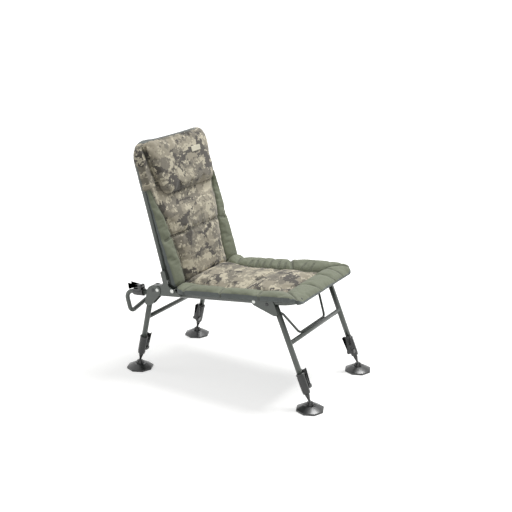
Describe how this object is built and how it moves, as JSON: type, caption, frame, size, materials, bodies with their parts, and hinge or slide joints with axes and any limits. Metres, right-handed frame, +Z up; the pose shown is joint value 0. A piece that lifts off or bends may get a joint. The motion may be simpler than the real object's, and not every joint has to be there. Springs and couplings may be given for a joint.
{
  "type": "folding fishing chair",
  "caption": "Low folding chair with a padded seat and fold-down padded back, telescopic legs on swivel mud feet and a sliding rear loop.",
  "frame": {"origin": "on the ground, under the middle of the whole chair's box", "axes": "+Z up, -Y the way the sitter faces, +X the sitter's left"},
  "size_m": [0.534, 0.903, 0.9344],
  "materials": {
    "frame_coat": "dark grey-green powder coat, low sheen",
    "bright_steel": "bright rivet heads",
    "black_plastic": "matt moulded plastic",
    "sling_cloth": "coated woven cloth, dark grey-green",
    "camo_cloth": "brushed woven cloth: tan and brown-grey camouflage middle, olive green border and wings"
  },
  "bodies": {
    "seat": {"seat_frame_tube": "frame_coat", "seat_cross_tube": "frame_coat", "hinge_bracket_left": "frame_coat", "hinge_bracket_right": "frame_coat", "back_pivot_bolt_left": "bright_steel", "back_pivot_bolt_right": "bright_steel", "seat_sling": "sling_cloth", "seat_mattress": "camo_cloth", "loop_clamp_left": "black_plastic", "loop_clamp_right": "black_plastic"},
    "back": {"back_frame_tube": "frame_coat", "back_gusset_left": "frame_coat", "back_gusset_right": "frame_coat", "back_sling": "sling_cloth", "back_mattress": "camo_cloth", "head_pillow": "camo_cloth"},
    "front_legs": {"leg_tube_front_left": "frame_coat", "leg_tube_front_right": "frame_coat", "leg_bracket_front_left": "frame_coat", "leg_bracket_front_right": "frame_coat", "leg_pivot_rivet_front_left": "bright_steel", "leg_pivot_rivet_front_right": "bright_steel", "stop_button_front_left": "black_plastic", "stop_button_front_right": "black_plastic", "leg_clamp_front_left": "black_plastic", "leg_clamp_front_right": "black_plastic", "front_crossbar": "frame_coat", "front_stay_hoop": "frame_coat"},
    "rear_legs": {"leg_tube_rear_left": "frame_coat", "leg_tube_rear_right": "frame_coat", "leg_bracket_rear_left": "frame_coat", "leg_bracket_rear_right": "frame_coat", "leg_pivot_rivet_rear_left": "bright_steel", "leg_pivot_rivet_rear_right": "bright_steel", "stop_button_rear_left": "black_plastic", "stop_button_rear_right": "black_plastic", "leg_clamp_rear_left": "black_plastic", "leg_clamp_rear_right": "black_plastic", "rear_crossbar": "frame_coat"},
    "inner_leg_front_left": {"inner_leg_front_left": "frame_coat", "swivel_stem_front_left": "black_plastic"},
    "inner_leg_front_right": {"inner_leg_front_right": "frame_coat", "swivel_stem_front_right": "black_plastic"},
    "inner_leg_rear_left": {"inner_leg_rear_left": "frame_coat", "swivel_stem_rear_left": "black_plastic"},
    "inner_leg_rear_right": {"inner_leg_rear_right": "frame_coat", "swivel_stem_rear_right": "black_plastic"},
    "foot_front_left": {"mud_foot_front_left": "black_plastic"},
    "foot_front_right": {"mud_foot_front_right": "black_plastic"},
    "foot_rear_left": {"mud_foot_rear_left": "black_plastic"},
    "foot_rear_right": {"mud_foot_rear_right": "black_plastic"},
    "lever_front_left": {"leg_lever_front_left": "black_plastic"},
    "lever_front_right": {"leg_lever_front_right": "black_plastic"},
    "lever_rear_left": {"leg_lever_rear_left": "black_plastic"},
    "lever_rear_right": {"leg_lever_rear_right": "black_plastic"},
    "loop": {"rear_loop": "frame_coat"},
    "loop_lever_left": {"loop_lever_left": "black_plastic"},
    "loop_lever_right": {"loop_lever_right": "black_plastic"}
  },
  "joints": [
    {"name": "back_fold", "type": "hinge", "parent": "seat", "child": "back", "pos_m": [0, 0.20945, 0.36858], "axis": [1, 0, 0], "range_deg": [0, 85], "deforming": ["back_mattress", "head_pillow"]},
    {"name": "front_leg_fold", "type": "hinge", "parent": "seat", "child": "front_legs", "pos_m": [0, -0.16043, 0.39231], "axis": [1, 0, 0], "range_deg": [0, 80]},
    {"name": "rear_leg_fold", "type": "hinge", "parent": "seat", "child": "rear_legs", "pos_m": [0, 0.28022, 0.36077], "axis": [-1, 0, 0], "range_deg": [0, 100]},
    {"name": "front_left_leg_slide", "type": "slide", "parent": "front_legs", "child": "inner_leg_front_left", "axis": [0, 0.3859, 0.9225], "range_m": [-0.08, 0]},
    {"name": "front_right_leg_slide", "type": "slide", "parent": "front_legs", "child": "inner_leg_front_right", "axis": [0, 0.3859, 0.9225], "range_m": [-0.08, 0]},
    {"name": "rear_left_leg_slide", "type": "slide", "parent": "rear_legs", "child": "inner_leg_rear_left", "axis": [0, -0.2215, 0.9751], "range_m": [-0.08, 0]},
    {"name": "rear_right_leg_slide", "type": "slide", "parent": "rear_legs", "child": "inner_leg_rear_right", "axis": [0, -0.2215, 0.9751], "range_m": [-0.08, 0]},
    {"name": "front_left_foot_tilt", "type": "hinge", "parent": "inner_leg_front_left", "child": "foot_front_left", "pos_m": [0.212, -0.39653, 0.03], "axis": [1, 0, 0], "range_deg": [-57.7, 12.3]},
    {"name": "front_right_foot_tilt", "type": "hinge", "parent": "inner_leg_front_right", "child": "foot_front_right", "pos_m": [-0.212, -0.39653, 0.03], "axis": [1, 0, 0], "range_deg": [-57.7, 12.3]},
    {"name": "rear_left_foot_tilt", "type": "hinge", "parent": "inner_leg_rear_left", "child": "foot_rear_left", "pos_m": [0.212, 0.39024, 0.03], "axis": [1, 0, 0], "range_deg": [-22.2, 47.8]},
    {"name": "rear_right_foot_tilt", "type": "hinge", "parent": "inner_leg_rear_right", "child": "foot_rear_right", "pos_m": [-0.212, 0.39024, 0.03], "axis": [1, 0, 0], "range_deg": [-22.2, 47.8]},
    {"name": "front_left_lever", "type": "hinge", "parent": "front_legs", "child": "lever_front_left", "pos_m": [0.1888, -0.37377, 0.08443], "axis": [0, -0.9225, 0.3859], "range_deg": [0, 110]},
    {"name": "front_right_lever", "type": "hinge", "parent": "front_legs", "child": "lever_front_right", "pos_m": [-0.1888, -0.37377, 0.08443], "axis": [0, 0.9225, -0.3859], "range_deg": [0, 110]},
    {"name": "rear_left_lever", "type": "hinge", "parent": "rear_legs", "child": "lever_rear_left", "pos_m": [0.1888, 0.37717, 0.08753], "axis": [0, -0.9751, -0.2215], "range_deg": [0, 110]},
    {"name": "rear_right_lever", "type": "hinge", "parent": "rear_legs", "child": "lever_rear_right", "pos_m": [-0.1888, 0.37717, 0.08753], "axis": [0, 0.9751, 0.2215], "range_deg": [0, 110]},
    {"name": "loop_slide", "type": "slide", "parent": "seat", "child": "loop", "axis": [0, 0.994, -0.1097], "range_m": [0, 0.08]},
    {"name": "left_loop_lever", "type": "hinge", "parent": "seat", "child": "loop_lever_left", "pos_m": [0.212, 0.37066, 0.35702], "axis": [1, 0, 0], "range_deg": [0, 110]},
    {"name": "right_loop_lever", "type": "hinge", "parent": "seat", "child": "loop_lever_right", "pos_m": [-0.212, 0.37066, 0.35702], "axis": [1, 0, 0], "range_deg": [0, 110]}
  ]
}
